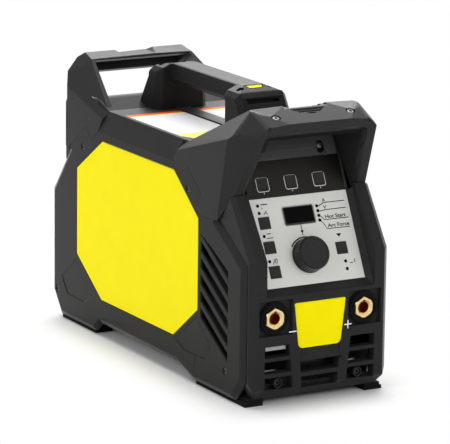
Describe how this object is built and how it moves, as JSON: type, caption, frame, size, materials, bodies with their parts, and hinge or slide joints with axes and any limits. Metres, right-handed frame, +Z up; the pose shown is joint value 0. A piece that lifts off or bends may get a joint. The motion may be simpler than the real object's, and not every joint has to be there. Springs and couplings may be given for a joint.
{
  "type": "stick welder",
  "caption": "Portable inverter stick welder with a hooded sloping control panel, front output sockets, a carrying handle, a rear hoop and louvred side covers.",
  "frame": {"origin": "under the middle of the machine, on the surface it stands on", "axes": "+X to the right seen from the front, the control panel and sockets face -Y, +Z up"},
  "size_m": [0.18, 0.465, 0.3215],
  "materials": {
    "black_moulding": "moulded, finely textured, satin",
    "yellow_inlay": "smooth satin",
    "silver_fascia": "printed film, satin",
    "black_film": "glossy film",
    "display_glass": "dark, clear",
    "lamp_lens": "clear, slightly tinted",
    "key_plastic": "satin",
    "knob_plastic": "satin with a fine grip",
    "socket_brass": "turned",
    "insulator": "moulded",
    "copper_bar": "plated strip",
    "zinc_steel": "zinc plated",
    "label_sheet": "printed film, satin",
    "rear_sheet": "powder coated",
    "pan_sheet": "galvanised",
    "foot_rubber": "matt",
    "fan_plastic": "moulded",
    "heat_sink_metal": "extruded",
    "circuit_board": "solder mask",
    "component_black": "moulded",
    "capacitor_sleeve": "shrunk sleeve",
    "ferrite": "sintered",
    "winding": "varnished wire and tape"
  },
  "bodies": {
    "machine": {"side_cover_right": "black_moulding", "side_cover_left": "black_moulding", "side_badges": "yellow_inlay", "front_hood": "black_moulding", "hood_liner": "black_moulding", "front_bezel": "black_moulding", "front_badge": "yellow_inlay", "name_plate": "black_film", "panel_housing": "black_moulding", "panel_fascia": "silver_fascia", "panel_film": "black_film", "display_window": "display_glass", "display_module": "component_black", "indicator_lamps": "lamp_lens", "control_board": "circuit_board", "tact_switches": "component_black", "encoder_body": "component_black", "socket_insert_positive": "socket_brass", "socket_insert_negative": "socket_brass", "socket_insulators": "insulator", "socket_nuts": "zinc_steel", "busbars": "copper_bar", "deck_plate": "black_moulding", "deck_labels": "label_sheet", "handle_lower": "black_moulding", "handle_upper": "black_moulding", "handle_badges": "yellow_inlay", "rear_frame": "black_moulding", "rear_panel": "rear_sheet", "base_pan": "pan_sheet", "rubber_feet": "foot_rubber", "fan_frame": "fan_plastic", "fan_guard": "zinc_steel", "switch_body": "component_black", "gland_body": "insulator", "gland_cap": "insulator", "gland_nut": "insulator", "heat_sinks": "heat_sink_metal", "power_board": "circuit_board", "capacitors": "capacitor_sleeve", "transformer_core": "ferrite", "transformer_winding": "winding", "output_choke": "winding", "hood_screws": "zinc_steel", "side_screws": "zinc_steel", "front_screws": "zinc_steel", "handle_fasteners": "zinc_steel", "louvre_screens": "black_moulding", "rear_screws": "zinc_steel"},
    "knob": {"control_knob": "knob_plastic", "encoder_shaft": "zinc_steel"},
    "fan": {"fan_rotor": "fan_plastic"},
    "rocker": {"switch_rocker": "component_black"},
    "key_top_left": {"button_top_left": "key_plastic"},
    "key_top_middle": {"button_top_middle": "key_plastic"},
    "key_top_right": {"button_top_right": "key_plastic"},
    "key_process": {"button_process": "key_plastic"},
    "key_mode": {"button_mode": "key_plastic"},
    "key_arc": {"button_arc": "key_plastic"},
    "key_select": {"button_select": "key_plastic"}
  },
  "joints": [
    {"name": "knob_turn", "type": "hinge", "parent": "machine", "child": "knob", "pos_m": [-0.0035, -0.20957, 0.15609], "axis": [0, -0.8965, 0.4431], "continuous": true},
    {"name": "fan_spin", "type": "hinge", "parent": "machine", "child": "fan", "pos_m": [0, 0.187, 0.112], "axis": [0, 1, 0], "continuous": true},
    {"name": "rocker_tilt", "type": "hinge", "parent": "machine", "child": "rocker", "pos_m": [0.038, 0.2075, 0.205], "axis": [1, 0, 0], "range_deg": [0, 16]},
    {"name": "top_left_press", "type": "slide", "parent": "machine", "child": "key_top_left", "axis": [0, 0.8965, -0.4431], "range_m": [0, 0.0008], "stiffness_N_per_m": 900, "springref_m": -0.0008},
    {"name": "top_middle_press", "type": "slide", "parent": "machine", "child": "key_top_middle", "axis": [0, 0.8965, -0.4431], "range_m": [0, 0.0008], "stiffness_N_per_m": 900, "springref_m": -0.0008},
    {"name": "top_right_press", "type": "slide", "parent": "machine", "child": "key_top_right", "axis": [0, 0.8965, -0.4431], "range_m": [0, 0.0008], "stiffness_N_per_m": 900, "springref_m": -0.0008},
    {"name": "process_press", "type": "slide", "parent": "machine", "child": "key_process", "axis": [0, 0.8965, -0.4431], "range_m": [0, 0.0008], "stiffness_N_per_m": 900, "springref_m": -0.0008},
    {"name": "mode_press", "type": "slide", "parent": "machine", "child": "key_mode", "axis": [0, 0.8965, -0.4431], "range_m": [0, 0.0008], "stiffness_N_per_m": 900, "springref_m": -0.0008},
    {"name": "arc_press", "type": "slide", "parent": "machine", "child": "key_arc", "axis": [0, 0.8965, -0.4431], "range_m": [0, 0.0008], "stiffness_N_per_m": 900, "springref_m": -0.0008},
    {"name": "select_press", "type": "slide", "parent": "machine", "child": "key_select", "axis": [0, 0.8965, -0.4431], "range_m": [0, 0.0008], "stiffness_N_per_m": 900, "springref_m": -0.0008}
  ]
}
